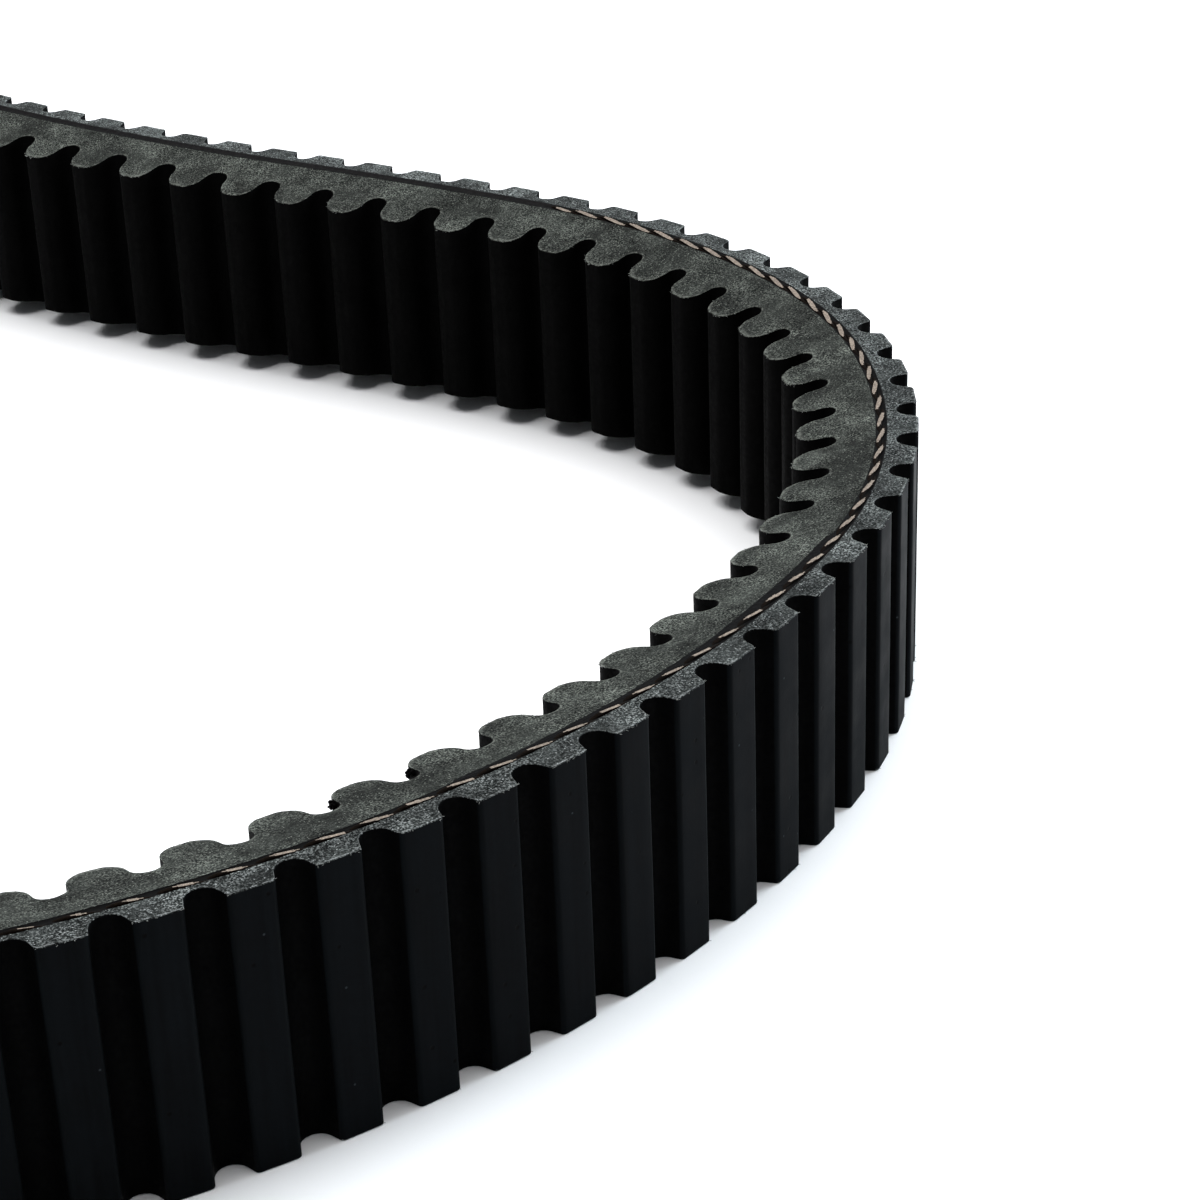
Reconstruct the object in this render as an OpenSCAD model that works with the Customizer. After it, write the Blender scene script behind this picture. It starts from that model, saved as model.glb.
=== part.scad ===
// Double-cogged raw-edge variable-speed V-belt, standing on one side of its loop.
// Lengths in mm. +Z is parallel to the pulley shafts, z = 0 is the resting side.
// The loop is a chain of tangent arcs and one straight; the radii of the wide end bend
// are solved so that the loop closes. Offsets from the cord line are + outwards.

/* [Section] */
// Belt width over the flat shoulders, at and above the cord line
belt_w = 36; // [30:0.5:50]
// Cord line to the tops of the outer cogs
out_tip = 5; // [4:0.1:7]
// Cord line to the bottoms of the outer notches
out_root = 2; // [1.5:0.1:3]
// Cord line to the bottoms of the inner notches
in_root = 6.3; // [5:0.1:8]
// Cord line to the crests of the inner cogs
in_tip = 12; // [9:0.1:14]
// Angle of each V flank below the cord line, degrees
flank_angle = 14; // [10:0.5:18]

/* [Cogs] */
// Number of outer cogs round the loop
out_cogs = 118; // [60:1:160]
// Number of inner cogs round the loop
in_cogs = 106; // [50:1:150]
// Where the first outer cog sits, along the cord line
out_phase = 21.7; // [0:0.1:60]
// Where the first inner notch sits, along the cord line
in_phase = 41.3; // [0:0.1:60]
// Half width of an outer cog at its tip, before rounding
out_half = 2.65; // [2:0.05:3.5]
// Slope of the outer cog sides, degrees
out_slope = 17.5; // [5:0.5:25]
// Corner radius of an outer cog
out_round = 0.8; // [0.3:0.1:1.2]
// Crest radius of an inner cog
in_round = 3.3; // [2.5:0.1:4]
// Half width of an inner cog where the notch beside it is measured
in_half = 3.4; // [3:0.05:4.5]
// Depth of that place beyond the notch bottoms
in_waist = 1.9; // [1.5:0.1:2.5]
// Depth of the flat that cuts each round crest
in_flat = 0.2; // [0.1:0.05:0.5]

/* [Tension layer] */
// Radius of the twisted tensile cord
cord_r = 0.62; // [0.4:0.01:1]
// Full turns that the cord makes from side to side
cord_turns = 17; // [8:1:24]
// Clearance round the cord in its groove
cord_gap = 0.02; // [0:0.01:0.1]
// Thickness of the adhesion gum above the cord line
gum_up = 0.9; // [0.7:0.1:1.5]
// Thickness of the adhesion gum below the cord line
gum_down = 1.3; // [0.7:0.1:2]
// Steepest slope of the step from one cord turn to the next, degrees
ramp_tilt = 5; // [5:0.5:10]

/* [Loop] */
// Heading of the path at its start, degrees
start_heading = -72.5; // [-180:0.5:180]
// Radius of the slightly hollow run of the loop
hollow_r = 440; // [300:5:900]
// Radius where the hollow run eases into the end bend
ease_r = 600; // [300:10:900]
// Radii of the tight end bend, in the order they are met
end_r1 = 120; // [90:1:200]
end_r2 = 92; // [80:1:200]
end_r3 = 110; // [90:1:200]
// Radii of the two round sides
side_r1 = 170; // [120:1:300]
side_r2 = 230; // [150:1:400]
// Straight between the side and the wide end bend
line_len = 54.4; // [52:0.1:80]

/* [Hidden] */
$fn = 96;
CORD_FN = 16;          // facets round the cord
OVER = 2;              // how far a cut or a trim runs past what it shapes
LAP = 0.03;            // overlap of a notch's straight sides with its round bottom
CORNER_LAP = 0.02;     // overlap of a notch's sides with an outer cog's round corner
CORNER_LIFT = 0.05;    // height of a corner's centre above a cog tip minus its radius
LAND = 0.3;            // half width of the crest that the notch outlines leave alone
TOP_PLACES = [-2.4:0.6:2.4]; // places along an outer cog's top that set the loop's extent

// Path: [radius, signed sweep]; sweep < 0 turns clockwise
PLAN = [[hollow_r, 13], [ease_r, -4.5], [end_r1, -23], [end_r2, -29], [end_r3, -31],
        [side_r1, -61], [side_r2, -62], [0, 0], [0, -133.5], [0, -29]];
N_SEG = len(PLAN);
CORD_CUT = 2; // the cord's ends show where this segment starts
LINE = 7;     // straight that holds the cord's steps
WIDE = 8;     // wide end bend; its radius and the next one are solved

function total(v, i = 0) = i >= len(v) ? 0 : v[i] + total(v, i + 1);
function upto(v, i) = i == 0 ? v[0] * 0 : v[i - 1] + upto(v, i - 1);
SWEEP = [for (p = PLAN) p[1]];
SEG_DIR = [for (i = [0:N_SEG - 1]) start_heading + upto(SWEEP, i)];
function left(a) = [-sin(a), cos(a)];
function ahead(a) = [cos(a), sin(a)];
// Chord of an arc of radius 1 that starts at heading a and sweeps by w
function unit_chord(a, w) = (w < 0 ? -1 : 1) * (left(a) - left(a + w));

// The known chords and the last two arcs' chords add up to nothing, which gives two radii
UNIT = [for (i = [0:N_SEG - 1]) unit_chord(SEG_DIR[i], SWEEP[i])];
known = [for (k = [0:1]) line_len * ahead(SEG_DIR[LINE])[k]
    + total([for (i = [0:N_SEG - 1]) PLAN[i][0] * UNIT[i][k]])];
solved = [cross(UNIT[WIDE + 1], known), cross(known, UNIT[WIDE])] / cross(UNIT[WIDE], UNIT[WIDE + 1]);

RADIUS = [for (i = [0:N_SEG - 1]) i < WIDE ? PLAN[i][0] : solved[i - WIDE]];
SEG_LEN = [for (i = [0:N_SEG - 1]) i == LINE ? line_len : RADIUS[i] * abs(SWEEP[i]) * PI / 180];
SEG_CHORD = [for (i = [0:N_SEG - 1]) i == LINE ? line_len * ahead(SEG_DIR[i]) : RADIUS[i] * UNIT[i]];
SEG_S = [for (i = [0:N_SEG - 1]) upto(SEG_LEN, i)];
SEG_XY = [for (i = [0:N_SEG - 1]) upto(SEG_CHORD, i)];
loop_len = total(SEG_LEN);
out_pitch = loop_len / out_cogs;
in_pitch = loop_len / in_cogs;

// Curvature, heading and plan position of the cord line at arc length s
function wrap(s) = s - floor(s / loop_len) * loop_len;
function seg_at(s, i = 0) = i == N_SEG - 1 || s < SEG_S[i + 1] ? i : seg_at(s, i + 1);
function bend(i) = i == LINE ? 0 : sign(SWEEP[i]) / RADIUS[i];
function heading(s) = let (w = wrap(s), i = seg_at(w))
    SEG_DIR[i] + bend(i) * (w - SEG_S[i]) * 180 / PI - 360 * floor(s / loop_len);
function on_path(s) = let (w = wrap(s), i = seg_at(w), u = w - SEG_S[i], a = SEG_DIR[i])
    SEG_XY[i] + (bend(i) == 0 ? u * ahead(a) : (left(a) - left(heading(s))) / bend(i));
// Point t along and n outwards in the square frame of the path at s
function spot(s, t, n) = on_path(s) + t * ahead(heading(s)) + n * left(heading(s));
// The same point in the square frame of the path at s_ref
function seen(s_ref, s, t, n) = let (d = spot(s, t, n) - on_path(s_ref), a = heading(s_ref))
    [d * ahead(a), d * left(a)];

// The origin is the middle of the outer cogs' extent in plan
tips = [for (k = [0:out_cogs - 1], t = TOP_PLACES) spot(out_phase + k * out_pitch + t, 0, out_tip)];
tips_x = [for (p = tips) p[0]];
tips_y = [for (p = tips) p[1]];
centre = [(min(tips_x) + max(tips_x)) / 2, (min(tips_y) + max(tips_y)) / 2];

flank = tan(flank_angle);
half_w = belt_w / 2;

// ---- Sweeps --------------------------------------------------------------

// Moves in two steps, coarse then fine, so that neighbouring segments meet exactly
function coarse(x) = round(x * 100) / 100;
module shift(v) {
    translate([for (x = v) coarse(x)]) translate([for (x = v) x - coarse(x)]) children();
}

// Sweeps a section (x = offset from the cord line, y = height) along segment i
module along(i) {
    a = SEG_DIR[i];
    w = SWEEP[i];
    r = RADIUS[i];
    hub = SEG_XY[i] - centre + (i == LINE ? [0, 0] : sign(w) * r * left(a));
    shift([hub[0], hub[1], half_w])
        if (i == LINE)
            rotate([90, 0, a + 90]) linear_extrude(line_len) children();
        else if (w < 0)
            rotate_extrude(angle = -w, start = a + 90 + w) shift([r, 0]) children();
        else
            rotate_extrude(angle = w, start = a - 90) shift([r, 0]) mirror([1, 0]) children();
}

module around() {
    for (i = [0:N_SEG - 1]) along(i) children();
}

// Section between two offsets: square shoulders above the cord line, V flanks below
function edge(n) = half_w + min(n, 0) * flank;
module section(lo, hi) {
    at = lo < 0 && hi > 0 ? [lo, 0, hi] : [lo, hi];
    polygon([for (n = at) [n, -edge(n)], for (k = [len(at) - 1:-1:0]) [at[k], edge(at[k])]]);
}

// ---- Cogs ----------------------------------------------------------------

// Cuts a plan outline, drawn in the square frame of the path at s, through the belt
module cut_at(s) {
    p = on_path(s) - centre;
    translate([p[0], p[1], -OVER]) rotate([0, 0, heading(s)])
        linear_extrude(belt_w + 2 * OVER) children();
}

// Notch between outer cogs k and k + 1: sloped walls, full round bottom, round corners
module outer_notch(k) {
    s0 = out_phase + k * out_pitch;
    s1 = s0 + out_pitch;
    sm = (s0 + s1) / 2;
    lean = out_slope + (heading(s0) - heading(s1)) / 2;
    base = out_half + (out_tip - out_root) * tan(out_slope);
    gap = norm(spot(s1, -base, out_root) - spot(s0, base, out_root)) / 2;
    r = gap * cos(lean) / (1 - sin(lean));
    foot = (r - LAP) * [cos(lean), sin(lean)];
    c_n = out_tip - out_round + CORNER_LIFT;
    c_t = out_half + (out_tip - c_n) * tan(out_slope) - out_round / cos(out_slope);
    wall = (out_round - CORNER_LAP) * [cos(out_slope), sin(out_slope)];
    cut_at(sm) {
        difference() {
            polygon([
                seen(sm, s0, c_t, out_tip + OVER), seen(sm, s0, c_t, c_n),
                seen(sm, s0, c_t + wall[0], c_n + wall[1]),
                [-foot[0], out_root + r - foot[1]], [foot[0], out_root + r - foot[1]],
                seen(sm, s1, -c_t - wall[0], c_n + wall[1]),
                seen(sm, s1, -c_t, c_n), seen(sm, s1, -c_t, out_tip + OVER)]);
            translate(seen(sm, s0, c_t, c_n)) circle(out_round);
            translate(seen(sm, s1, -c_t, c_n)) circle(out_round);
        }
        translate([0, out_root + r]) circle(r);
    }
}

// Notch k between two inner cogs, whose crests are round with a narrow flat
module inner_notch(k) {
    sm = in_phase + k * in_pitch;
    s0 = sm - in_pitch / 2;
    s1 = sm + in_pitch / 2;
    deep = in_root + in_waist;
    r = norm(spot(s1, -in_half, -deep) - spot(s0, in_half, -deep)) / 2;
    c_n = in_tip + in_flat - in_round;
    side = in_round - LAP;
    cut_at(sm) {
        difference() {
            polygon([
                seen(sm, s0, LAND, -in_tip - OVER), seen(sm, s0, LAND, -c_n), seen(sm, s0, side, -c_n),
                [LAP - r, -in_root - r], [r - LAP, -in_root - r],
                seen(sm, s1, -side, -c_n), seen(sm, s1, -LAND, -c_n),
                seen(sm, s1, -LAND, -in_tip - OVER)]);
            translate(seen(sm, s0, 0, -c_n)) circle(in_round);
            translate(seen(sm, s1, 0, -c_n)) circle(in_round);
        }
        translate([0, -in_root - r]) circle(r);
    }
}

// Fibre-filled stretch rubber with the outer cogs
module overcord() {
    color([0.16, 0.17, 0.17])
        difference() {
            around() section(gum_up, out_tip);
            for (k = [0:out_cogs - 1]) outer_notch(k);
        }
}

// Fibre-filled compression rubber with the inner cogs
module undercord() {
    color([0.13, 0.14, 0.14])
        difference() {
            around() section(-in_tip, -gum_down);
            for (k = [0:in_cogs - 1]) inner_notch(k);
        }
}

// ---- Tension layer -------------------------------------------------------

// The cord climbs by one step per turn, all on the straight. Between the cord's ends
// and the straight the loop carries turns 1 to cord_turns, elsewhere 0 to cord_turns - 1.
ramp_len = coarse(belt_w / cord_turns / tan(ramp_tilt / 2));
cord_step = ramp_len * tan(ramp_tilt / 2);
function level(j) = (j - cord_turns / 2) * cord_step;
function first_turn(i) = i >= CORD_CUT && i < LINE ? 1 : 0;

module cord_section(i, r) {
    for (j = [0:cord_turns - 1]) shift([0, level(j + first_turn(i))]) circle(r, $fn = CORD_FN);
}

// One step between two turns: two opposed arcs in the upright plane of the straight
ramp_r = cord_step / 2 / (1 - cos(ramp_tilt));
lead_in = coarse((line_len - ramp_len) / 2);
lead_out = line_len - ramp_len - lead_in;
module cord_ramp(j, r) {
    shift([0, level(j + 1), 0]) linear_extrude(lead_in) circle(r, $fn = CORD_FN);
    shift([0, level(j + 1) - ramp_r, lead_in]) rotate([0, 90, 0]) rotate([0, 0, 90])
        rotate_extrude(angle = ramp_tilt) shift([ramp_r, 0]) circle(r, $fn = CORD_FN);
    shift([0, level(j) + ramp_r, lead_in + ramp_len]) rotate([0, 90, 0]) rotate([0, 0, -90])
        rotate_extrude(angle = ramp_tilt) shift([ramp_r, 0]) circle(r, $fn = CORD_FN);
    shift([0, level(j), lead_in + ramp_len]) linear_extrude(lead_out) circle(r, $fn = CORD_FN);
}
module ramps(r) {
    shift([SEG_XY[LINE][0] - centre[0], SEG_XY[LINE][1] - centre[1], half_w])
        rotate([90, 0, SEG_DIR[LINE] + 90])
            for (j = [0:cord_turns - 1]) cord_ramp(j, r);
}

// One continuous cord wound from side to side, its outermost turns cut by the flanks
module tensile_cord() {
    color([0.62, 0.52, 0.42]) {
        for (i = [0:N_SEG - 1]) if (i != LINE)
            along(i) intersection() {
                cord_section(i, cord_r);
                section(-OVER, OVER);
            }
        intersection() {
            ramps(cord_r);
            along(LINE) section(-OVER, OVER);
        }
    }
}

module gum(lo, hi) {
    for (i = [0:N_SEG - 1]) if (i != LINE)
        along(i) difference() {
            section(lo, hi);
            cord_section(i, cord_r + cord_gap);
        }
    difference() {
        along(LINE) section(lo, hi);
        ramps(cord_r + cord_gap);
    }
}

// Adhesion gum on the outer side of the cord
module gum_upper() {
    color([0.04, 0.04, 0.045]) gum(0, gum_up);
}

// Adhesion gum on the inner side of the cord
module gum_lower() {
    color([0.05, 0.05, 0.055]) gum(-gum_down, 0);
}

overcord();
gum_upper();
tensile_cord();
gum_lower();
undercord();
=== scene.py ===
import math
import random

import bmesh
import bpy
import numpy as np
from mathutils import Matrix, Vector, noise


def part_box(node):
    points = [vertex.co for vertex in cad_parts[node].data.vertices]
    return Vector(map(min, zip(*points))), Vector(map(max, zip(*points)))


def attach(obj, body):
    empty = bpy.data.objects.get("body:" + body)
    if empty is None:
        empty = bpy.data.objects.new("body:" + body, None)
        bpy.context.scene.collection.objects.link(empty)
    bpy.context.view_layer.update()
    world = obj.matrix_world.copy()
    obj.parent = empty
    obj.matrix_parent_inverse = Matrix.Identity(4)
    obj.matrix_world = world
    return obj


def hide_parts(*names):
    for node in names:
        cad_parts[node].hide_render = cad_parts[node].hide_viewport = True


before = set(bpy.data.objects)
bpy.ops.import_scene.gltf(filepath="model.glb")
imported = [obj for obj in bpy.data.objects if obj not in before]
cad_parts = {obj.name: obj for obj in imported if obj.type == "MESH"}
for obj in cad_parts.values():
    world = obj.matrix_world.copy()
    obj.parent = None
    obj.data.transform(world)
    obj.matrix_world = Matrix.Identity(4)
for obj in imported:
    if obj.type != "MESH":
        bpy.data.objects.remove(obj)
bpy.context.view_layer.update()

MM = 0.001
BODY = "root"

# ---- Section of the belt -----------------------------------------------------
BELT_W = (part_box("overcord")[1].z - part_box("overcord")[0].z) / MM
FLANK = math.tan(math.radians(14.0))     # loss of half width for each mm inwards
OUT_TIP, OUT_ROOT = 5.0, 2.0             # outer cog tops and notch floors, outwards
IN_ROOT, IN_TIP = 6.3, 12.0              # inner notch floors and cog crests, inwards
OUT_COGS, IN_COGS = 118, 106
OUT_PHASE, IN_PHASE = 21.7, 41.3         # middle of an outer cog, and of an inner notch
OUT_HALF, OUT_ROUND = 2.65, 0.65         # half width of an outer cog's top, and its corners
OUT_SLOPE = math.radians(17.5)           # lean of an outer cog's walls
IN_HALF, IN_WAIST = 3.4, 1.9             # half width of an inner cog this far over its notch
IN_ROUND = 3.3                           # radius of an inner cog's crest
CREST_FLAT = 3.1                         # crest centre to the flat that cuts the round crest
CORD_TURNS, CORD_STEP, CORD_R = 17, 2.1176, 0.62

# ---- Loop --------------------------------------------------------------------
START = -72.5              # heading at s = 0, degrees
LINE_LEN = 54.4            # the one straight
# Tangent arcs: radius and sweep in degrees, less than 0 where it turns clockwise. A radius
# of 0 is the straight, or is solved so that the loop closes.
PLAN = [(440.0, 13.0), (600.0, -4.5), (120.0, -23.0), (92.0, -29.0), (110.0, -31.0),
        (170.0, -61.0), (230.0, -62.0), (0.0, 0.0), (0.0, -133.5), (0.0, -29.0)]
CORD_CUT, LINE, WIDE = 2, 7, 8           # arcs where the cut cord starts, the straight, the wide bend


def left(a):
    """Unit vectors square to headings a, on their left."""
    return np.stack([-np.sin(a), np.cos(a)], axis=-1)


def ahead(a):
    """Unit vectors along headings a."""
    return np.stack([np.cos(a), np.sin(a)], axis=-1)


class Loop:
    """The cord line: tangent arcs and one straight, closed by solving the last two radii."""

    def __init__(self):
        sweep = np.radians([w for _, w in PLAN])
        self.start = np.radians(START) + np.concatenate([[0], np.cumsum(sweep)[:-1]])
        unit = -(left(self.start) - left(self.start + sweep))
        unit[sweep > 0] *= -1
        radius = np.array([r for r, _ in PLAN])
        known = LINE_LEN * ahead(self.start[LINE]) + (radius[:, None] * unit).sum(0)
        radius[WIDE:] = np.linalg.solve(np.stack([unit[WIDE], unit[WIDE + 1]], axis=1), -known)
        length = radius * np.abs(sweep)
        length[LINE] = LINE_LEN
        chord = radius[:, None] * unit
        chord[LINE] = LINE_LEN * ahead(self.start[LINE])
        # the straight has no bend, and 1.0 stands in for its radius of 0
        self.bend = np.where(length == LINE_LEN, 0.0, np.sign(sweep) / np.maximum(radius, 1.0))
        self.s = np.concatenate([[0], np.cumsum(length)])
        self.xy = np.concatenate([[[0, 0]], np.cumsum(chord, axis=0)])
        self.length = self.s[-1]
        self.shift = np.zeros(2)

    def find(self, s):
        """The arc at s, how far s lies along it, and the turns of the loop before it."""
        turns = np.floor(s / self.length)
        w = s - turns * self.length
        i = np.clip(np.searchsorted(self.s, w, side="right") - 1, 0, len(PLAN) - 1)
        return i, w - self.s[i], turns

    def heading(self, s):
        i, u, turns = self.find(np.asarray(s, float))
        return self.start[i] + self.bend[i] * u - 2 * math.pi * turns

    def curvature(self, s):
        return self.bend[self.find(np.asarray(s, float))[0]]

    def at(self, s, t=0.0, n=0.0):
        """Plan position of the point t along and n outwards in the square frame at s."""
        s = np.asarray(s, float)
        i, u, _ = self.find(s)
        a, h = self.start[i], self.heading(s)
        k = self.bend[i]
        arc = (left(a) - left(h)) / np.where(k == 0, 1.0, k)[..., None]
        base = self.xy[i] + np.where((k == 0)[..., None], u[..., None] * ahead(a), arc)
        t, n = np.asarray(t, float)[..., None], np.asarray(n, float)[..., None]
        return base + t * ahead(h) + n * left(h) + self.shift


loop = Loop()
OUT_PITCH = loop.length / OUT_COGS
IN_PITCH = loop.length / IN_COGS


def smooth_step(x, lo, hi):
    u = np.clip((x - lo) / (hi - lo), 0, 1)
    return u * u * (3 - 2 * u)


def between(s, lo, hi, ease):
    """1 where s lies between lo and hi round the loop, easing to 0 just inside both."""
    w = np.mod(s, loop.length)
    return smooth_step(w, lo, lo + ease) * (1 - smooth_step(w, hi - ease, hi))


# ---- Cord line and gum as the cut shows them ---------------------------------
UNSEEN = 200.0             # the cord is back on its line this far before s = 0
# The cord moves over between two places: inwards on the hollow run and the end bend, then
# outwards along the near side. Each row is from, to, distance.
DRIFTS = [(-180.0, -60.0, -0.42), (235.0, 305.0, 0.82), (372.0, 388.0, 0.33), (430.0, 520.0, -0.73)]
LIP = 0.8                  # reach of the gum to each side of the cord's middle
# A torn, thicker band of the lower gum on the near side: from, to, ease, extra thickness.
BANDS = [(297.0, 374.5, 1.5, 0.55), (297.0, 330.0, 5.0, 0.3)]
RIPPLE, RIPPLE_LEN, RIPPLE_LEAST = 0.05, 3.1, 0.3        # it grows with the band
THIN_FROM, THIN_TO, THIN_EASE, THIN_BY = 325.0, 520.0, 20.0, 0.3   # thin stretch of the upper gum


def drift(s):
    """How far the cord wanders outwards from its own line."""
    w = np.mod(s + UNSEEN, loop.length) - UNSEEN
    return sum(by * smooth_step(w, lo, hi) for lo, hi, by in DRIFTS)


def gum_below(s):
    """Depth of the lower gum's edge, inwards from the cord line."""
    band = sum(by * between(s, lo, hi, ease) for lo, hi, ease, by in BANDS)
    ripple = RIPPLE * np.sin(np.mod(s, loop.length) / RIPPLE_LEN) * (RIPPLE_LEAST + band)
    return LIP - drift(s) + band + ripple


def gum_above(s):
    """Height of the upper gum's edge, outwards from the cord line."""
    return LIP + drift(s) - THIN_BY * between(s, THIN_FROM, THIN_TO, THIN_EASE)


def edge_height(n):
    """Half width of the belt at offset n: square shoulders outside, V flanks inside."""
    return BELT_W / 2 + np.minimum(n, 0.0) * FLANK


# ---- Cog outlines ------------------------------------------------------------
# An outline is an array with a row for each point: x, y, s, n, kind.
KIND = 4
TOP, WALL = 1.0, 0.0
CORNER_N = OUT_TIP - OUT_ROUND
CORNER_T = OUT_HALF + OUT_ROUND * math.tan(OUT_SLOPE) - OUT_ROUND / math.cos(OUT_SLOPE)
FOOT_T = OUT_HALF + (OUT_TIP - OUT_ROOT) * math.tan(OUT_SLOPE)
CORNER_POINTS, FLAT_POINTS, WALL_POINTS, ROOT_POINTS = 6, 6, 5, 9
CREST_POINTS, CREST_FROM = 17, 4.0       # degrees of the round that are left out at each end
SLOT_POINTS, SLOT_FROM = 13, 8.0         # the same for the round floor of an inner notch


def columns(s, t, n, kind):
    """One stretch of an outline, from places in the square frame at s."""
    s, t, n = np.broadcast_arrays(np.asarray(s, float), np.asarray(t, float), np.asarray(n, float))
    base = s + t / (1 - loop.curvature(s) * n)
    return np.column_stack([loop.at(s, t, n), base, n, np.full(len(n), kind)])


def outer_cog(s0):
    """The flat top of an outer cog and its two round corners."""
    bow = np.linspace(OUT_SLOPE, math.pi / 2, CORNER_POINTS)
    arc_t = CORNER_T + OUT_ROUND * np.cos(bow)
    arc_n = CORNER_N + OUT_ROUND * np.sin(bow)
    flat = np.linspace(-CORNER_T, CORNER_T, FLAT_POINTS)[1:-1]
    return np.vstack([columns(s0, -arc_t, arc_n, TOP), columns(s0, flat, OUT_TIP, TOP),
                      columns(s0, arc_t[::-1], arc_n[::-1], TOP)])


def outer_notch(s0, s1):
    """The full-round floor between the outer cogs at s0 and s1, tangent to both walls."""
    lean = OUT_SLOPE + float(loop.heading(s0) - loop.heading(s1)) / 2
    gap = np.linalg.norm(loop.at(s1, -FOOT_T, OUT_ROOT) - loop.at(s0, FOOT_T, OUT_ROOT)) / 2
    r = gap * math.cos(lean) / (1 - math.sin(lean))
    bow = np.linspace(lean, math.pi - lean, ROOT_POINTS)
    return columns((s0 + s1) / 2, -r * np.cos(bow), OUT_ROOT + r - r * np.sin(bow), WALL)


def straight(a, b):
    """The points between the ends of a straight cog wall."""
    points = a + np.linspace(0, 1, WALL_POINTS)[1:-1, None] * (b - a)
    points[:, KIND] = WALL
    return points


def outer_outline():
    """The outer cogs and the notches between them, once round the loop."""
    parts = []
    for k in range(OUT_COGS):
        s0 = OUT_PHASE + k * OUT_PITCH
        s1 = s0 + OUT_PITCH
        cog = outer_cog(s0)
        notch = outer_notch(s0, s1)
        parts += [cog, straight(cog[-1], notch[0]), notch, straight(notch[-1], outer_cog(s1)[0])]
    return np.vstack(parts)


def inner_outline():
    """The inner cogs' round crests and the notches between them, once round the loop."""
    parts = []
    crest_n = IN_TIP - CREST_FLAT
    waist_n = IN_ROOT + IN_WAIST
    crest = np.radians(np.linspace(CREST_FROM, 180.0 - CREST_FROM, CREST_POINTS))
    floor_arc = np.radians(np.linspace(SLOT_FROM, 180.0 - SLOT_FROM, SLOT_POINTS))
    drop = np.minimum(IN_ROUND * np.sin(crest), CREST_FLAT)
    for k in range(IN_COGS):
        mid = IN_PHASE + k * IN_PITCH
        s0 = mid - IN_PITCH / 2
        s1 = mid + IN_PITCH / 2
        r = np.linalg.norm(loop.at(s1, -IN_HALF, -waist_n) - loop.at(s0, IN_HALF, -waist_n)) / 2
        parts.append(columns(s0, -IN_ROUND * np.cos(crest), -crest_n - drop, TOP))
        parts.append(columns(mid, -r * np.cos(floor_arc), -IN_ROOT - r + r * np.sin(floor_arc), WALL))
    return np.vstack(parts)


# The frame's box gives the loop its place, and the outlines are made there.
outer = outer_outline()
box_low, box_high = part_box("overcord")
middle = (outer[:, :2].min(0) + outer[:, :2].max(0)) / 2
loop.shift = np.array([box_low.x + box_high.x, box_low.y + box_high.y]) / 2 / MM - middle
outer = outer_outline()
inner = inner_outline()


# ---- Mesh helpers ------------------------------------------------------------
SEED_STEP = (17.3, 5.1, 9.7)             # how far each seed moves the noise


def noise_field(points, size, seed):
    """Smooth noise from -1 to 1 at points in millimetres, with features of that size."""
    offset = Vector([seed * step for step in SEED_STEP])
    return np.array([noise.noise(Vector(p) / size + offset) for p in points])


def plan_noise(xy, height, size, seed):
    """Noise at plan points; the height only picks a layer of it."""
    return noise_field(np.column_stack([xy, np.full(len(xy), height)]), size, seed)


def signed_volume(mesh):
    corners = np.array([mesh.vertices[i].co for p in mesh.polygons for i in p.vertices[:3]])
    a, b, c = corners.reshape(-1, 3, 3).transpose(1, 0, 2)
    return float((a * np.cross(b, c)).sum()) / 3


def solid(name, points, faces, slots, materials, edge=None, sharp=32.0):
    """A mesh piece from millimetre points, smooth but for its sharp edges, on the belt's body."""
    mesh = bpy.data.meshes.new(name)
    mesh.from_pydata((points * MM).tolist(), [], faces.tolist())
    for m in materials:
        mesh.materials.append(m)
    mesh.polygons.foreach_set("material_index", np.asarray(slots, np.int32))
    mesh.polygons.foreach_set("use_smooth", np.ones(len(faces), bool))
    if edge is not None:
        mesh.attributes.new("edge", "FLOAT", "POINT").data.foreach_set("value", edge.astype(np.float32))
    mesh.update()
    if signed_volume(mesh) < 0:
        mesh.flip_normals()
    mesh.set_sharp_from_angle(angle=math.radians(sharp))
    piece = bpy.data.objects.new(name, mesh)
    bpy.context.scene.collection.objects.link(piece)
    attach(piece, BODY)
    return piece


def ring_mesh(name, rows, row_slots, materials, edge=None):
    """Quads between rows of points, each row once round the loop; the last row meets the first.
    row_slots gives each band of faces a slot, or an array of slots, one for each column."""
    count, across = rows.shape[0], rows.shape[1]
    a = np.arange(across)
    b = np.roll(a, -1)
    quads, slots = [], []
    for r in range(count):
        q = (r + 1) % count
        quads.append(np.column_stack([r * across + a, r * across + b, q * across + b, q * across + a]))
        slots.append(np.broadcast_to(row_slots[r], across))
    return solid(name, rows.reshape(-1, 3), np.vstack(quads), np.concatenate(slots), materials, edge)


def round_angles(sides):
    return np.linspace(0, 2 * math.pi, sides, endpoint=False)


def tube(s, centre, radius, sides):
    """A ring of points round each centre, square to the belt at s."""
    angle = round_angles(sides)[:, None]
    across = np.column_stack([left(loop.heading(s)), np.zeros(len(s))])
    up = np.array([0.0, 0.0, 1.0])
    return centre[:, None] + radius * (np.cos(angle) * across[:, None] + np.sin(angle) * up)


def tube_faces(rings, sides, start):
    """Quads between the rings of an open tube whose first point has the index start."""
    a = np.arange(sides)
    b = (a + 1) % sides
    return [np.column_stack([start + r * sides + a, start + r * sides + b,
                             start + (r + 1) * sides + b, start + (r + 1) * sides + a])
            for r in range(rings - 1)]


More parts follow.
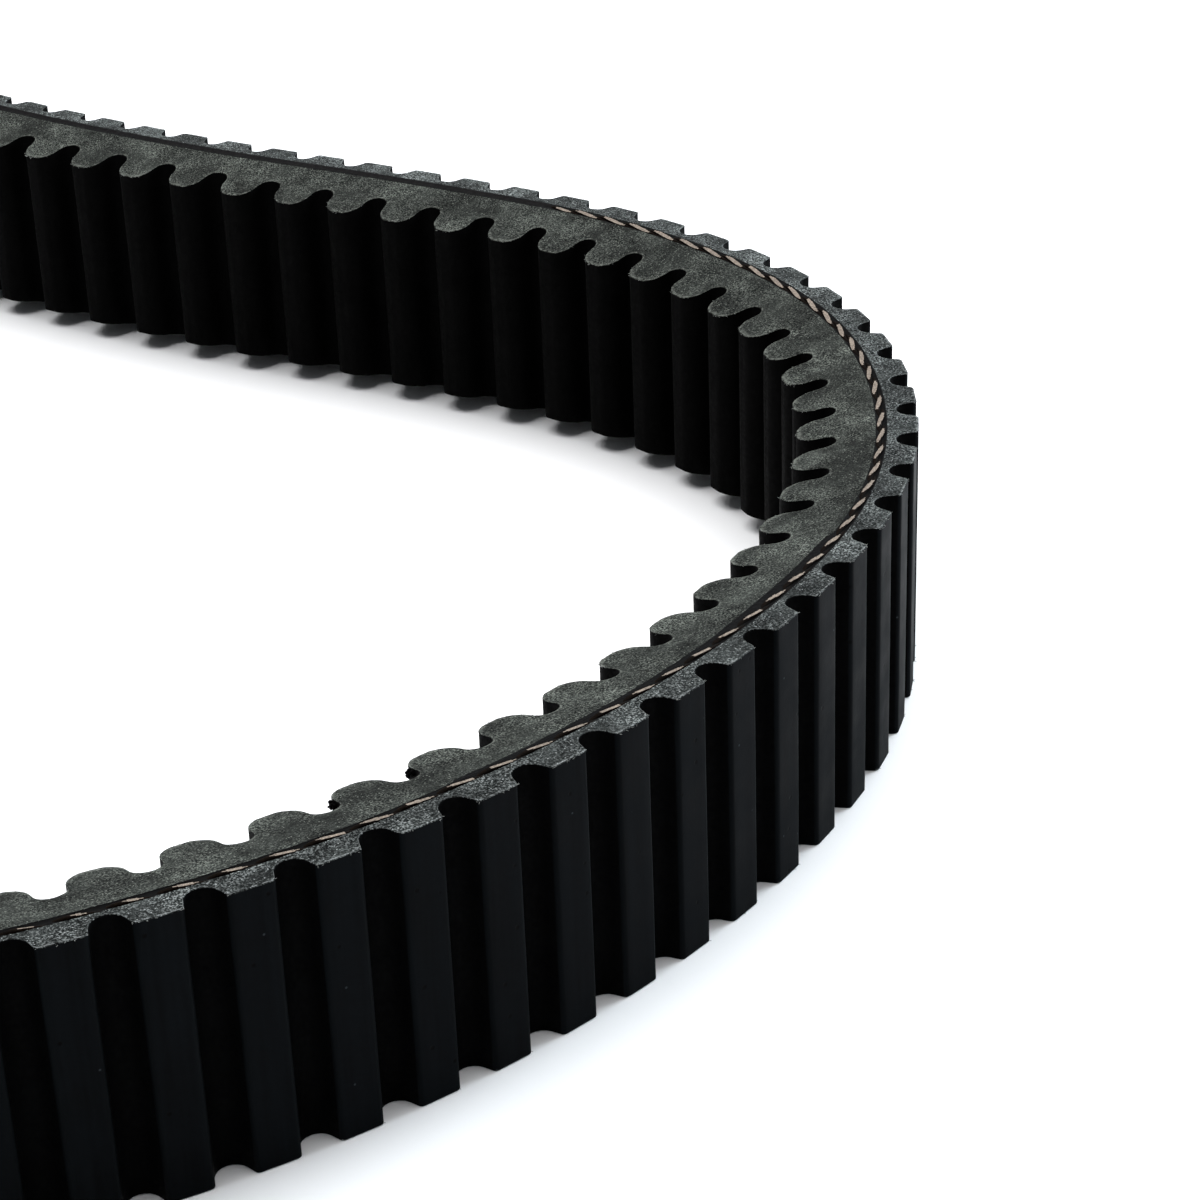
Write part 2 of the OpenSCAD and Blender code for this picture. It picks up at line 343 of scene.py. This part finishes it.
def cap_ends(piece):
    """Closes the open ends of tubes with a face each, in the last material."""
    work = bmesh.new()
    work.from_mesh(piece.data)
    made = bmesh.ops.holes_fill(work, edges=[e for e in work.edges if e.is_boundary], sides=0)["faces"]
    for face in made:
        face.material_index = len(piece.data.materials) - 1
    bmesh.ops.recalc_face_normals(work, faces=work.faces)
    work.to_mesh(piece.data)
    work.free()


# ---- Materials ---------------------------------------------------------------
class Shader:
    """A Principled material and short calls for the procedural nodes that feed it."""

    def __init__(self, name, roughness, specular):
        self.material = bpy.data.materials.new(name)
        self.material.use_nodes = True
        self.tree = self.material.node_tree
        self.bsdf = self.tree.nodes["Principled BSDF"]
        self.bsdf.inputs["Roughness"].default_value = roughness
        self.bsdf.inputs["Specular IOR Level"].default_value = specular
        self.place = self.tree.nodes.new("ShaderNodeTexCoord").outputs["Object"]

    def link(self, source, target):
        self.tree.links.new(source, target)

    def mapped(self, scale):
        node = self.tree.nodes.new("ShaderNodeMapping")
        node.inputs["Scale"].default_value = scale
        self.link(self.place, node.inputs["Vector"])
        return node.outputs["Vector"]

    def noise(self, size_mm, detail=2.0, rough=0.5, vector=None):
        node = self.tree.nodes.new("ShaderNodeTexNoise")
        node.inputs["Scale"].default_value = 1 / (size_mm * MM)
        node.inputs["Detail"].default_value = detail
        node.inputs["Roughness"].default_value = rough
        self.link(vector or self.place, node.inputs["Vector"])
        return node.outputs["Fac"]

    def dots(self, cell_mm, radius, share):
        """1 inside small round dots, one in a share of the cells of that size."""
        node = self.tree.nodes.new("ShaderNodeTexVoronoi")
        node.inputs["Scale"].default_value = 1 / (cell_mm * MM)
        self.link(self.place, node.inputs["Vector"])
        near = self.ramp(node.outputs["Distance"], [(radius * 0.6, 1.0), (radius, 0.0)])
        pick = self.tree.nodes.new("ShaderNodeSeparateColor")
        self.link(node.outputs["Color"], pick.inputs["Color"])
        return self.math("MULTIPLY", near, self.ramp(pick.outputs[0], [(share, 1.0), (share + 0.01, 0.0)]))

    def ramp(self, fac, stops):
        """A ramp of grey values or colours: stops are (place, value)."""
        node = self.tree.nodes.new("ShaderNodeValToRGB")
        table = node.color_ramp.elements
        while len(table) < len(stops):
            table.new(1.0)
        for element, (place, value) in zip(table, stops):
            element.position = place
            element.color = (value,) * 3 + (1,) if isinstance(value, float) else (*value, 1)
        self.link(fac, node.inputs["Fac"])
        return node.outputs["Color"]

    def math(self, kind, a, b):
        node = self.tree.nodes.new("ShaderNodeMath")
        node.operation = kind
        for value, socket in zip((a, b), node.inputs):
            if isinstance(value, float):
                socket.default_value = value
            else:
                self.link(value, socket)
        return node.outputs[0]

    def mix(self, fac, a, b, kind="MIX"):
        node = self.tree.nodes.new("ShaderNodeMix")
        node.data_type = "RGBA"
        node.blend_type = kind
        for value, socket in zip((fac, a, b), (node.inputs[0], node.inputs[6], node.inputs[7])):
            if isinstance(value, (float, tuple)):
                socket.default_value = value if isinstance(value, float) else (*value, 1)
            else:
                self.link(value, socket)
        return node.outputs[2]

    def attribute(self, name):
        node = self.tree.nodes.new("ShaderNodeAttribute")
        node.attribute_name = name
        return node.outputs["Fac"]

    def finish(self, colour, rough=None, height=None, depth_mm=0.05, strength=0.6):
        """Feeds the colour, and where given the roughness and a bump of that depth."""
        self.link(colour, self.bsdf.inputs["Base Color"])
        if rough is not None:
            self.link(rough, self.bsdf.inputs["Roughness"])
        if height is not None:
            bump = self.tree.nodes.new("ShaderNodeBump")
            bump.inputs["Strength"].default_value = strength
            bump.inputs["Distance"].default_value = depth_mm * MM
            self.link(height, bump.inputs["Height"])
            self.link(bump.outputs["Normal"], self.bsdf.inputs["Normal"])
        return self.material


def cut_rubber(name, dark, middle, light, fibre):
    """A raw cut flank: peppery grain, smudges, the bright cut ends of short fibres, and a painted
    highlight along the cut edge.
    """
    m = Shader(name, roughness=0.9, specular=0.06)
    grain = m.noise(0.26, detail=1.5, rough=0.75)
    pepper = m.ramp(grain, [(0.41, dark), (0.47, middle), (0.53, middle), (0.61, light)])
    worn = m.ramp(m.noise(7.0, 3.0, 0.6), [(0.45, 0.0), (0.62, 0.55)])
    colour = m.mix(worn, pepper, middle)
    smudge = m.ramp(m.noise(8.0, 4.0, 0.6), [(0.36, 0.45), (0.5, 0.9), (0.62, 1.45)])
    patch = m.ramp(m.noise(2.2, 3.0, 0.6), [(0.35, 0.65), (0.65, 1.25)])
    colour = m.mix(1.0, colour, smudge, "MULTIPLY")
    colour = m.mix(1.0, colour, patch, "MULTIPLY")
    colour = m.mix(m.dots(cell_mm=0.34, radius=0.3, share=0.22), colour, fibre)
    colour = m.mix(m.dots(cell_mm=0.42, radius=0.33, share=0.4), colour, dark)
    # A lighter band in the fibre colour along the cut edge, broken by noise: a painted edge highlight.
    rim = m.ramp(m.attribute("edge"), [(0.93, 0.0), (1.0, 0.7)])
    rim = m.math("MULTIPLY", rim, m.ramp(m.noise(0.7, 2.0, 0.6), [(0.42, 0.0), (0.6, 1.0)]))
    colour = m.mix(rim, colour, fibre)
    rough = m.ramp(m.noise(1.1), [(0.3, 0.75), (0.7, 0.98)])
    return m.finish(colour, rough, grain, depth_mm=0.12, strength=0.8)


def cog_top():
    """Moulded outer cog tops: slate black with faint streaks across the belt, and small pits with painted
    shade in them.
    """
    m = Shader("outer_cog_top", roughness=0.55, specular=0.022)
    streak = m.ramp(m.noise(1.0, 3.0, 0.6, m.mapped((0.9, 0.9, 0.035))), [(0.3, 0.0), (0.7, 1.0)])
    cloud = m.noise(7.0, 3.0, 0.6)
    pit = m.dots(cell_mm=2.6, radius=0.13, share=0.4)
    dust = m.dots(cell_mm=3.1, radius=0.06, share=0.35)
    colour = m.mix(streak, (0.0006, 0.0009, 0.0012), (0.0019, 0.0027, 0.0034))
    colour = m.mix(m.ramp(cloud, [(0.35, 0.0), (0.7, 0.5)]), colour, (0.0034, 0.0046, 0.0056))
    # The pits are sunk by the bump and also painted near black: painted shade in the pits.
    colour = m.mix(pit, colour, (0.0006, 0.0006, 0.0006))
    colour = m.mix(dust, colour, (0.022, 0.026, 0.029))
    rough = m.ramp(cloud, [(0.3, 0.48), (0.7, 0.66)])
    height = m.math("SUBTRACT", m.math("MULTIPLY", m.noise(0.5, 3.0, 0.6), 0.5), pit)
    return m.finish(colour, rough, height, depth_mm=0.06, strength=0.5)


def moulded_black(name, base, lift):
    """Moulded notches and inner cogs: near black, a little lighter where it is rubbed. On the overcord's
    notches and cog walls this near black is painted shade.
    """
    m = Shader(name, roughness=0.8, specular=0.025)
    cloud = m.noise(5.0, 3.0, 0.6)
    fine = m.noise(0.6, 3.0, 0.6)
    colour = m.mix(m.ramp(cloud, [(0.35, 0.0), (0.7, 1.0)]), base, lift)
    rough = m.ramp(fine, [(0.3, 0.6), (0.7, 0.85)])
    return m.finish(colour, rough, fine, depth_mm=0.04, strength=0.4)


def gum():
    """Adhesion gum: smooth black, with drag marks left by the knife along the cut."""
    m = Shader("adhesion_gum", roughness=0.65, specular=0.03)
    drag = m.noise(0.8, 3.0, 0.7)
    mark = m.ramp(drag, [(0.35, 0.0), (0.75, 1.0)])
    colour = m.mix(mark, (0.0005, 0.0005, 0.0006), (0.0026, 0.0025, 0.0028))
    rough = m.ramp(drag, [(0.3, 0.4), (0.7, 0.7)])
    return m.finish(colour, rough, drag, depth_mm=0.08)


def cord_fibre(name, low_colour, high_colour, specular=0.15):
    """Twisted fibre: fine lines, broken by darker ends."""
    m = Shader(name, 0.8, specular)
    thread = m.noise(0.25, 3.0, 0.7)
    patch = m.noise(1.6)
    colour = m.mix(m.ramp(thread, [(0.35, 0.0), (0.65, 1.0)]), low_colour, high_colour)
    colour = m.mix(m.ramp(patch, [(0.3, 0.35), (0.6, 0.0)]), colour, low_colour)
    rough = m.ramp(thread, [(0.3, 0.65), (0.7, 0.9)])
    return m.finish(colour, rough, thread, strength=0.7)


MAT_OUT_CUT = cut_rubber("overcord_cut", dark=(0.002, 0.0024, 0.0024), middle=(0.03, 0.034, 0.033),
                         light=(0.16, 0.172, 0.17), fibre=(0.26, 0.275, 0.275))
MAT_IN_CUT = cut_rubber("undercord_cut", dark=(0.002, 0.0023, 0.002), middle=(0.026, 0.029, 0.026),
                        light=(0.1, 0.108, 0.096), fibre=(0.17, 0.18, 0.162))
MAT_TOP = cog_top()
# The overcord's notches and cog walls get a darker copy of the cog tops' rubber: painted shade.
MAT_NOTCH_PAINTED_SHADE = moulded_black("outer_notch", (0.0003, 0.0003, 0.0004), (0.0009, 0.001, 0.0011))
MAT_INNER = moulded_black("inner_cogs", (0.0003, 0.0003, 0.0003), (0.001, 0.001, 0.001))
MAT_GUM = gum()
MAT_CUT_CORD = cord_fibre("cord_cut_face", (0.085, 0.069, 0.057), (0.31, 0.258, 0.213))
MAT_CORD = cord_fibre("cord_dipped", (0.0015, 0.001, 0.0008), (0.008, 0.0052, 0.0036), specular=0.02)
MAT_FIBRE = cord_fibre("cut_fibre_ends", (0.12, 0.125, 0.12), (0.4, 0.42, 0.4))


# ---- Rubber layers with cogs -------------------------------------------------
CUT, FACE, NOTCH = 0, 1, 2               # slots of a rubber layer
BEVEL = 0.12                             # worn edge between a cut flank and a moulded face
FLANK_ROWS = (0.0, 0.25, 0.5, 0.75, 0.92, 1.0)     # shares of the way from the gum to the rim
ACROSS_ROWS = 9
RAGGED, RAGGED_SIZE = 0.05, 0.9          # wander of the cut edge
ROUGH, ROUGH_SIZE = 0.03, 1.7            # unevenness of the cut flank
WAVE, WAVE_SIZE = 0.03, 6.0              # unevenness of the moulded faces
SKIN = 0.02                              # moulded faces lie this far inside their outline
EDGE_LAYER, FLANK_LAYER = 9.0, 7.0       # heights that their noise is read at


def cogged_layer(name, outline, gum_line, materials, seed):
    """A rubber layer from the gum line to its cogged outline, cut flat on both sides."""
    rim, s, n, kind = outline[:, :2], outline[:, 2], outline[:, 3], outline[:, KIND]
    base_n = gum_line(s)
    base = loop.at(s, 0.0, base_n)
    inward = base - rim
    inward /= np.linalg.norm(inward, axis=1)[:, None]

    def flank(side):
        ragged = RAGGED * plan_noise(rim, side * EDGE_LAYER, RAGGED_SIZE, seed)
        tip = rim + inward * (BEVEL + ragged[:, None])
        made = []
        for v in FLANK_ROWS:
            xy = base + v * (tip - base)
            off = base_n + v * (n - base_n)
            rough = ROUGH * plan_noise(xy, side * FLANK_LAYER, ROUGH_SIZE, seed + 2)
            made.append(np.column_stack([xy, side * (edge_height(off) - ROUGH + rough)]))
        return made

    def faces():
        made = []
        for v in np.linspace(1, -1, ACROSS_ROWS):
            z = v * (edge_height(n) - BEVEL)
            wave = WAVE * noise_field(np.column_stack([rim, z]), WAVE_SIZE, seed + 5)
            made.append(np.column_stack([rim + inward * (SKIN - wave[:, None]), z]))
        return made

    rows = np.array(flank(1.0) + faces() + flank(-1.0)[::-1])
    rows[:, :, 2] += BELT_W / 2
    edge = np.repeat([*FLANK_ROWS, *[0.0] * ACROSS_ROWS, *FLANK_ROWS[::-1]], len(s))
    face_kind = np.where(np.minimum(kind, np.roll(kind, -1)) == TOP, FACE, NOTCH)
    cut_bands = [CUT] * len(FLANK_ROWS)
    slots = cut_bands + [face_kind] * (ACROSS_ROWS - 1) + cut_bands + [NOTCH]
    return ring_mesh(name, rows, slots, materials, edge)


# Its cog walls and notch floors take the darker notch material, which is painted shade.
overcord = cogged_layer("overcord_rubber", outer, gum_above, [MAT_OUT_CUT, MAT_TOP, MAT_NOTCH_PAINTED_SHADE], seed=3)
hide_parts("overcord")

undercord = cogged_layer("undercord_rubber", inner, lambda s: -gum_below(s),
                         [MAT_IN_CUT, MAT_INNER, MAT_INNER], seed=8)
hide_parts("undercord")


# ---- Loose fibre ends and torn rubber along the cut edges --------------------
UPPER_SHARE = 0.7                        # of the loose fibres, on the upper flank
TUFT_FIBRES, TUFT_SCALE, TUFT_REACH = 9, 1.5, 2
FIBRE_DEEP = (0.05, 0.25)                # depth of a fibre's root under the flank
FIBRE_LEN = (0.1, 0.3)
# Lean of a fibre: upwards on the upper flank, inwards on the lower one, out, and sideways.
LIFT_UPPER, LIFT_LOWER, FIBRE_OUT, FIBRE_ASIDE = (-0.2, 0.8), (0.0, 0.3), (0.3, 1.0), (-0.9, 0.9)
FIBRE_CURL, FIBRE_DROOP = 0.12, (-0.1, 0.05)       # bend of a fibre towards its end
FIBRE_TURN = np.array([0.0, 2.1, 4.2])             # corners of its section, radians
# Rings of a fibre: share of its length, radius. The first is sunk in the rubber.
FIBRE_RINGS = ((-0.3, 0.028), (0.3, 0.026), (0.7, 0.02), (1.0, 0.008))


def fibre_points(dice, rim, cord, half_width, side, scale):
    """The rings of one fibre that leans out from its place on the rim and droops a little."""
    root = np.array([*rim, side * (half_width - dice.uniform(*FIBRE_DEEP)) + BELT_W / 2])
    out = rim - cord
    out /= np.linalg.norm(out)
    lift = dice.uniform(*(LIFT_UPPER if side > 0 else LIFT_LOWER))
    along = np.array([-out[1], out[0]]) * dice.uniform(*FIBRE_ASIDE)
    lean = np.array([*(out * dice.uniform(*FIBRE_OUT) + along), lift])
    lean *= scale * dice.uniform(*FIBRE_LEN) / np.linalg.norm(lean)
    droop = np.array([*(along * FIBRE_CURL), dice.uniform(*FIBRE_DROOP)])
    ring = np.column_stack([np.cos(FIBRE_TURN), np.sin(FIBRE_TURN), np.sin(FIBRE_TURN + 1)])
    return np.vstack([root + lean * v + droop * v * v + radius * ring for v, radius in FIBRE_RINGS])


def fibre_ends(name, outline, count, seed, tufts=0):
    """Short fibres that stand out of the cut edges, and a few frayed tufts."""
    dice = random.Random(seed)
    rim, s = outline[:, :2], outline[:, 2]
    cord, half_width = loop.at(s), edge_height(outline[:, 3])
    tops = np.flatnonzero(outline[:, KIND] == TOP).tolist()
    spots = [(dice.choice(tops), 1.0 if dice.random() < UPPER_SHARE else -1.0, 1.0) for _ in range(count)]
    for _ in range(tufts):
        at = dice.randrange(len(s))
        spots += [((at + dice.randrange(-TUFT_REACH, TUFT_REACH + 1)) % len(s), 1.0, TUFT_SCALE)
                  for _ in range(TUFT_FIBRES)]
    points = [fibre_points(dice, rim[i], cord[i], float(half_width[i]), side, scale)
              for i, side, scale in spots]
    quads = []
    for k in range(len(points)):
        quads += tube_faces(len(FIBRE_RINGS), len(FIBRE_TURN), k * len(points[0]))
    quads = np.vstack(quads)
    piece = solid(name, np.vstack(points), quads, np.zeros(len(quads)), [MAT_FIBRE])
    cap_ends(piece)
    return piece


outer_fibres = fibre_ends("outer_edge_fibres", outer, count=1100, seed=11)
inner_fibres = fibre_ends("inner_edge_fibres", inner, count=900, seed=12, tufts=8)


CRUMB_COGS = (30, 31)                    # inner cogs with torn rubber hanging at the cut
CRUMB_LUMPS = 14
CRUMB_STAND = (0.0, 0.65)                # how far the lumps stand off the cog's side
CRUMB_N = (-9.8, -8.8)
CRUMB_DEEP = (0.3, 1.1)                  # under the flank
CRUMB_R, CRUMB_TAPER = 0.32, 0.28        # radius at the cog, and its loss for each mm off it


def crumbs():
    """Clumps of torn rubber that the knife left on the sides of two inner cogs."""
    dice = random.Random(21)
    work = bmesh.new()
    for k in CRUMB_COGS:
        s = IN_PHASE + (k - 0.5) * IN_PITCH
        for _ in range(CRUMB_LUMPS):
            stand, n = dice.uniform(*CRUMB_STAND), dice.uniform(*CRUMB_N)
            z = BELT_W / 2 + edge_height(n) - dice.uniform(*CRUMB_DEEP)
            place = Matrix.Translation((*loop.at(s, IN_ROUND + stand, n), z))
            radius = CRUMB_R - CRUMB_TAPER * stand
            bmesh.ops.create_icosphere(work, subdivisions=2, radius=radius, matrix=place)
    work.verts.index_update()
    points = np.array([v.co for v in work.verts])
    faces = np.array([[v.index for v in f.verts] for f in work.faces])
    work.free()
    return solid("torn_crumbs", points, faces, np.zeros(len(faces)), [MAT_INNER])


crumbs()


# ---- Cord --------------------------------------------------------------------
PLIES = 2
PLY_R, PLY_OFF = 0.34, 0.36              # radius of a ply, and its distance from the cord's axis
PLY_SIDES, PLY_STEP = 14, 0.55
LAY = 11.37                              # length of one full twist; a ply shows every half of it
LAY_START, HIGHEST = 163.1, 0.25         # here a ply is at its highest, this share of a turn round
CUT_DEPTH = 0.43                         # cord axis below the flank where the cut bares the plies
CUT_STAND = 0.02                         # the upper cut face stands this much over the flank
DIVE, DIVE_LEN = 0.75, 9.0               # how a turn goes under where its cut ends
GRAZES = [(285.0, 305.0, 0.05), (378.0, 425.0, 0.12)]     # from, to, how much deeper it then lies
UPPER_SWAY, UPPER_SWAY_LEN = 0.02, 17.0
LOWER_SWAY, LOWER_SWAY_LEN = 0.03, 23.0
SHOW_START, SHOW_END = loop.s[CORD_CUT], loop.s[LINE]
BURIED_R, BURIED_SIDES, BURIED_STEP = CORD_R * 0.9, 6, 6.0


def upper_turn():
    """Stations of the top turn, the depth of its axis under the flank, and its wander. It dives
    at its start, and is only grazed where the loop runs back to the straight."""
    s = np.arange(SHOW_START, SHOW_END, PLY_STEP)
    dive = np.clip((SHOW_START + DIVE_LEN - s) / DIVE_LEN, 0, 1)
    graze = sum(by * smooth_step(s, lo, hi) for lo, hi, by in GRAZES)
    sway = UPPER_SWAY * np.sin(s / UPPER_SWAY_LEN)
    return s, CUT_DEPTH + DIVE * dive ** 2 + graze + sway, drift(s)


def lower_turn():
    """The same for the bottom turn, which dives at its end."""
    s = np.arange(loop.s[WIDE], loop.length + SHOW_START, PLY_STEP)
    dive = np.clip((s - s[-1] + DIVE_LEN) / DIVE_LEN, 0, 1)
    sway = LOWER_SWAY * np.sin(s / LOWER_SWAY_LEN)
    return s, CUT_DEPTH + sway + DIVE * dive ** 2, np.zeros(len(s))


def twisted_turn(name, route, side):
    """An outermost turn: twisted plies, cut flush with the flank on side +1 (up) or -1 (down)."""
    s, depth, wander = route
    points, quads, slots = [], [], []
    for ply in range(PLIES):
        turn = 2 * math.pi * ((s - LAY_START) / LAY + HIGHEST + ply / PLIES)
        n = wander + PLY_OFF * np.cos(turn)
        z = side * (BELT_W / 2 - depth) + PLY_OFF * np.sin(turn)
        rings = tube(s, np.column_stack([loop.at(s, 0.0, n), z]), PLY_R, PLY_SIDES)
        off = n[:, None] + PLY_R * np.cos(round_angles(PLY_SIDES))
        limit = edge_height(off) + CUT_STAND * (side > 0)
        cut = side * rings[:, :, 2] > limit
        rings[:, :, 2] = np.where(cut, side * limit, rings[:, :, 2])
        rings[:, :, 2] += BELT_W / 2
        points.append(rings.reshape(-1, 3))
        quads += tube_faces(len(s), PLY_SIDES, ply * len(s) * PLY_SIDES)
        beside = np.roll(cut, -1, axis=1)
        bared = cut[:-1] & cut[1:] & beside[:-1] & beside[1:]
        slots.append(np.where(bared, 0, 1).reshape(-1))
    piece = solid(name, np.vstack(points), np.vstack(quads), np.concatenate(slots),
                  [MAT_CUT_CORD, MAT_CORD], sharp=60.0)
    cap_ends(piece)


def inner_turns():
    """The turns between the outermost two: one plain strand that climbs a step on the straight."""
    s = np.arange(SHOW_END, SHOW_END + (CORD_TURNS - 1) * loop.length, BURIED_STEP)
    turn, past = np.divmod(s - SHOW_END, loop.length)
    z = BELT_W - CORD_STEP * (turn + smooth_step(past, 0.0, LINE_LEN))
    rings = tube(s, np.column_stack([loop.at(s), z]), BURIED_R, BURIED_SIDES)
    quads = np.vstack(tube_faces(len(s), BURIED_SIDES, 0))
    piece = solid("buried_cord", rings.reshape(-1, 3), quads, np.zeros(len(quads)), [MAT_CORD])
    cap_ends(piece)
    return piece


buried = inner_turns()
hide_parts("tensile_cord")
twisted_turn("cord_upper_turn", upper_turn(), 1.0)
twisted_turn("cord_lower_turn", lower_turn(), -1.0)


# ---- Adhesion gum ------------------------------------------------------------
GROOVE_DEPTH, GROOVE_HALF, GROOVE_EASE = 0.25, 0.72, 6.0
GUM_COLUMNS, GUM_ROWS = 1600, 7
GUM_SINK = 0.04                          # the gum's cut face lies this far under the flank
GUM_ROUGH, GUM_ROUGH_SIZE, GUM_LAYER = 0.03, 1.3, 5.0


def stretch(s, lo, hi):
    """1 between lo and hi, with straight ramps just inside both."""
    return np.clip((s - lo) / GROOVE_EASE, 0, 1) * np.clip((hi - s) / GROOVE_EASE, 0, 1)


def gum_layer(name, node, lo, hi, seed):
    """A gum layer between two gum lines, with a groove where the cut bares the cord."""
    s = np.arange(0, loop.length, loop.length / GUM_COLUMNS)
    shares = np.linspace(0, 1, GUM_ROWS)

    def profile(side, bared, middle, shares):
        made = []
        for v in shares:
            n = lo(s) + v * (hi(s) - lo(s))
            dip = np.maximum(0.0, 1 - ((n - middle) / GROOVE_HALF) ** 2) * bared * GROOVE_DEPTH
            xy = loop.at(s, 0.0, n)
            rough = GUM_ROUGH * plan_noise(xy, side * GUM_LAYER, GUM_ROUGH_SIZE, seed)
            z = side * (edge_height(n) - GUM_SINK - dip + rough)
            made.append(np.column_stack([xy, z + BELT_W / 2]))
        return made

    above = profile(1.0, stretch(s, SHOW_START, SHOW_END), drift(s), shares)
    below = profile(-1.0, 1 - stretch(s, SHOW_START, loop.s[WIDE]), 0.0, shares[::-1])
    rows = np.array(above + below)
    piece = ring_mesh(name, rows, [0] * len(rows), [MAT_GUM])
    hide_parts(node)


gum_layer("upper_gum_layer", "gum_upper", np.zeros_like, gum_above, seed=4)
gum_layer("lower_gum_layer", "gum_lower", lambda s: -gum_below(s), np.zeros_like, seed=6)


# ---- Stage, lights and camera, in metres -------------------------------------
FLOOR_HALF = 14.0
FAR = 5.0                  # from the belt to where the floor's glow is steady
FAR_GLOW = [(0.14, 0.0), (0.25, 0.15), (0.4, 0.4), (0.6, 0.57), (1.0, 0.68)]
HORIZON = [(0.12, (0.72, 0.75, 0.79)), (0.24, (0.108, 0.112, 0.12))]   # sine of height, colour
CAMERA_PLACE = (-0.0712, -0.4524, 0.2001)
CAMERA_AIM, CAMERA_TILT, CAMERA_ROLL = 59.756, 26.918, -2.126   # degrees
CAMERA_LENS, CAMERA_SENSOR = 88.47, 36.0                        # millimetres
CAMERA_NEAR = 0.01


def floor():
    """A pale floor; far from the belt it glows a little, so that it stays pale to the horizon."""
    mesh = bpy.data.meshes.new("floor")
    corners = [(x * FLOOR_HALF, y * FLOOR_HALF, 0) for x, y in ((-1, -1), (1, -1), (1, 1), (-1, 1))]
    mesh.from_pydata(corners, [], [(0, 1, 2, 3)])
    m = Shader("pale_floor", roughness=0.9, specular=0.1)
    tint = m.ramp(m.noise(400.0), [(0.3, (0.93, 0.935, 0.945)), (0.7, (0.96, 0.962, 0.97))])
    far = m.tree.nodes.new("ShaderNodeVectorMath")
    far.operation = "LENGTH"
    m.link(m.place, far.inputs[0])
    glow = m.ramp(m.math("MULTIPLY", far.outputs["Value"], 1 / FAR), FAR_GLOW)
    m.link(m.mix(1.0, glow, (0.93, 0.96, 1.0), "MULTIPLY"), m.bsdf.inputs["Emission Color"])
    m.bsdf.inputs["Emission Strength"].default_value = 1.0
    mesh.materials.append(m.finish(tint))
    piece = bpy.data.objects.new("floor", mesh)
    bpy.context.scene.collection.objects.link(piece)


def softbox(name, place, target, size, power, colour=(1.0, 1.0, 1.0)):
    light = bpy.data.lights.new(name, "AREA")
    light.shape = "RECTANGLE"
    light.size, light.size_y = size
    light.energy = power
    light.color = colour
    lamp = bpy.data.objects.new(name, light)
    lamp.location = place
    lamp.rotation_euler = (Vector(target) - Vector(place)).to_track_quat("-Z", "Y").to_euler()
    bpy.context.scene.collection.objects.link(lamp)


def studio():
    """Dim surroundings that are pale only close to the horizon, behind the floor's far edge."""
    world = bpy.data.worlds.new("studio")
    world.use_nodes = True
    tree = world.node_tree
    split = tree.nodes.new("ShaderNodeSeparateXYZ")
    tree.links.new(tree.nodes.new("ShaderNodeTexCoord").outputs["Generated"], split.inputs[0])
    shade = tree.nodes.new("ShaderNodeValToRGB")
    for element, (place, colour) in zip(shade.color_ramp.elements, HORIZON):
        element.position = place
        element.color = (*colour, 1)
    tree.links.new(split.outputs["Z"], shade.inputs["Fac"])
    tree.links.new(shade.outputs["Color"], tree.nodes["Background"].inputs["Color"])
    bpy.context.scene.world = world


def camera():
    data = bpy.data.cameras.new("camera")
    data.lens = CAMERA_LENS
    data.sensor_width = CAMERA_SENSOR
    data.clip_start = CAMERA_NEAR
    eye = bpy.data.objects.new("camera", data)
    eye.matrix_world = (Matrix.Translation(CAMERA_PLACE)
                        @ Matrix.Rotation(math.radians(CAMERA_AIM - 90), 4, "Z")
                        @ Matrix.Rotation(math.radians(90 - CAMERA_TILT), 4, "X")
                        @ Matrix.Rotation(math.radians(CAMERA_ROLL), 4, "Z"))
    bpy.context.scene.collection.objects.link(eye)
    bpy.context.scene.camera = eye


floor()
softbox("overhead", place=(0.18, 0.4, 1.55), target=(0.0, 0.0, 0.0), size=(2.3, 2.3), power=72.0)
softbox("right_rim", place=(1.25, -0.05, 0.4), target=(0.1, -0.1, 0.02), size=(0.5, 0.7), power=18.0,
        colour=(0.8, 0.92, 1.0))
camera()
studio()
bpy.context.scene.view_settings.view_transform = "Standard"
